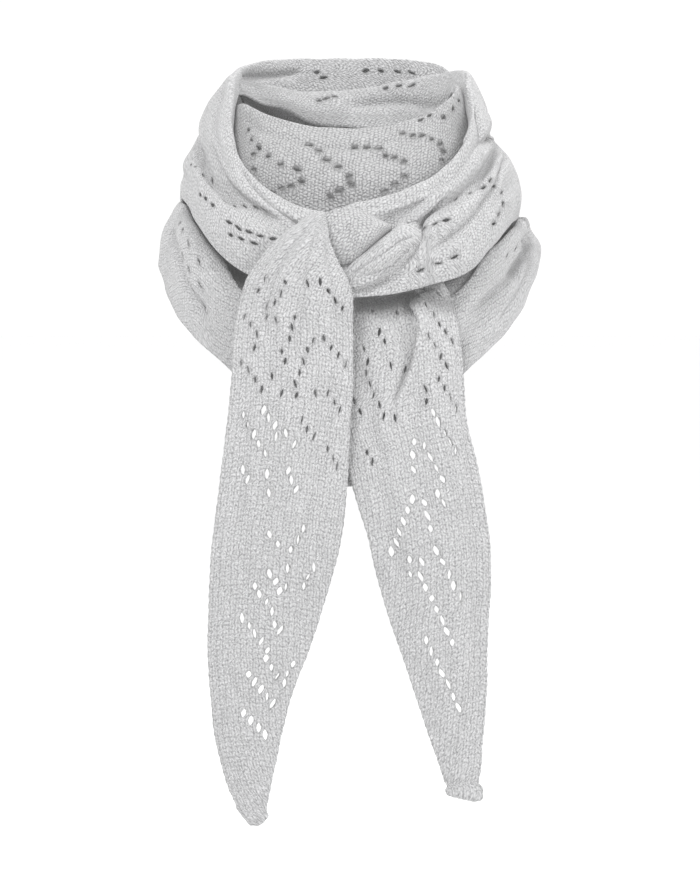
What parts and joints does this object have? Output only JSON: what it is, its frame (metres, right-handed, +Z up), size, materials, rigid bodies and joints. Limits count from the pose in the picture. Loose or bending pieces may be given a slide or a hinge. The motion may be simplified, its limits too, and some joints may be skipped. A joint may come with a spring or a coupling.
{
  "type": "worn knitted triangle shawl",
  "caption": "Fine-knit triangle shawl with lace eyelets, worn round an absent neck, crossed behind and knotted in front with two hanging tails.",
  "frame": {"origin": "centre of the neck opening, at the height where the shawl rests round the neck", "axes": "+Z up along the neck, +Y to the nape, +X to the right as seen from the front"},
  "size_m": [0.2845, 0.284, 0.5544],
  "materials": {
    "grey_knit": "soft matt wool, light grey with a slight heather"
  },
  "bodies": {
    "root": {"centre": "grey_knit", "left_arm": "grey_knit", "right_arm": "grey_knit", "knot_turn": "grey_knit", "knot_band": "grey_knit", "left_tail": "grey_knit", "right_tail": "grey_knit"}
  },
  "joints": []
}
